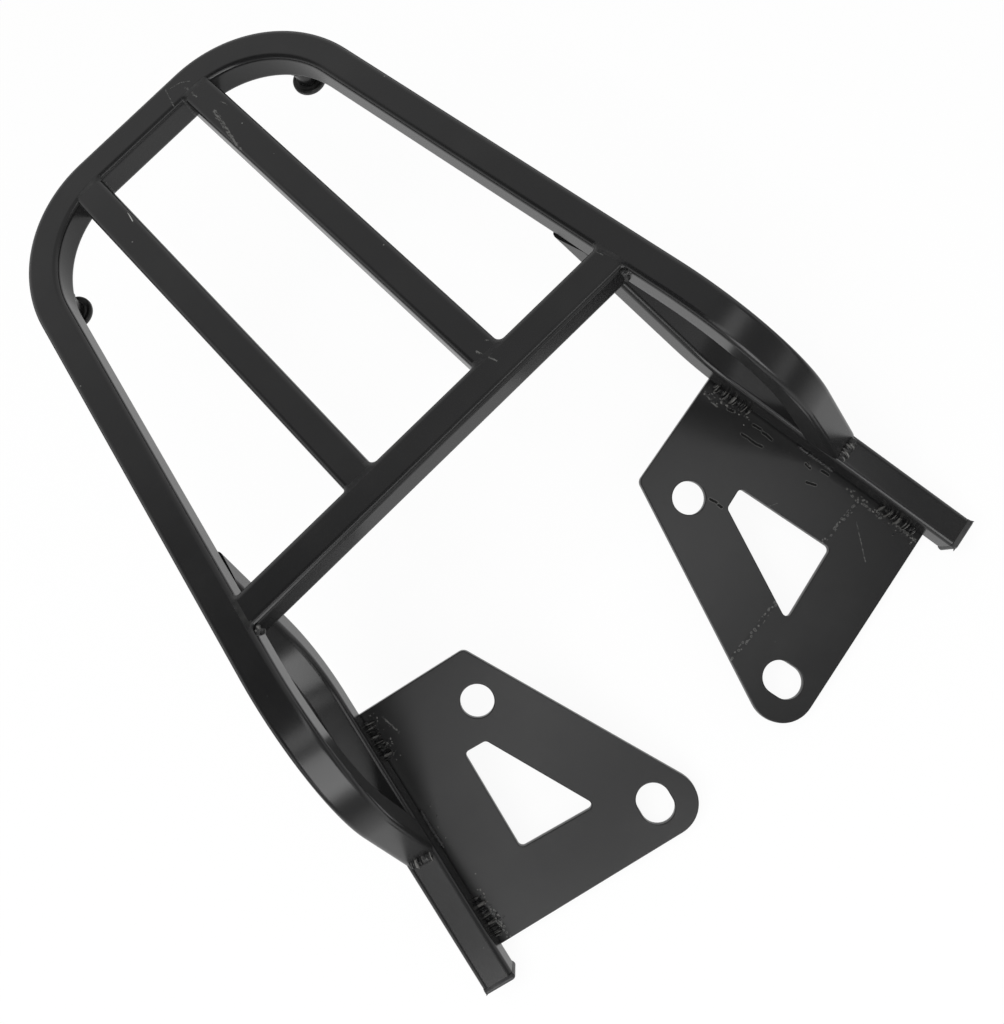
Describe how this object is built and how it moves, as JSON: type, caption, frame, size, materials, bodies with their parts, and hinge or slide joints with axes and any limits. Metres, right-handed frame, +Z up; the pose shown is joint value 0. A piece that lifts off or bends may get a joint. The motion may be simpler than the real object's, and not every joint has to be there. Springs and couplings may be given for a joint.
{
  "type": "motorcycle luggage rack",
  "caption": "Rear luggage rack welded from black square tube: a hoop that bends down to two rising rails, a crossbar, two long bars and slotted mounting plates.",
  "frame": {"origin": "on the flat top of the crossbar, on its centre line, midway between the sides of the hoop", "axes": "+Z up, away from the deck; +Y to the rear of the motorcycle; +X to the rider's right"},
  "size_m": [0.3232, 0.4097, 0.1549],
  "materials": {
    "paint": "semi-gloss black paint on steel",
    "weld": "painted weld bead",
    "cap": "moulded black plastic",
    "foot_rubber": "matt black rubber"
  },
  "bodies": {
    "root": {"hoop": "paint", "crossbar": "paint", "left_bar": "paint", "right_bar": "paint", "left_rail": "paint", "right_rail": "paint", "left_plate": "paint", "right_plate": "paint", "left_post": "paint", "right_post": "paint", "crossbar_welds": "weld", "bar_welds": "weld", "hoop_end_welds": "weld", "rail_root_welds": "weld", "plate_welds": "weld", "post_welds": "weld", "left_end_cap": "cap", "right_end_cap": "cap", "left_foot": "foot_rubber", "right_foot": "foot_rubber"}
  },
  "joints": []
}
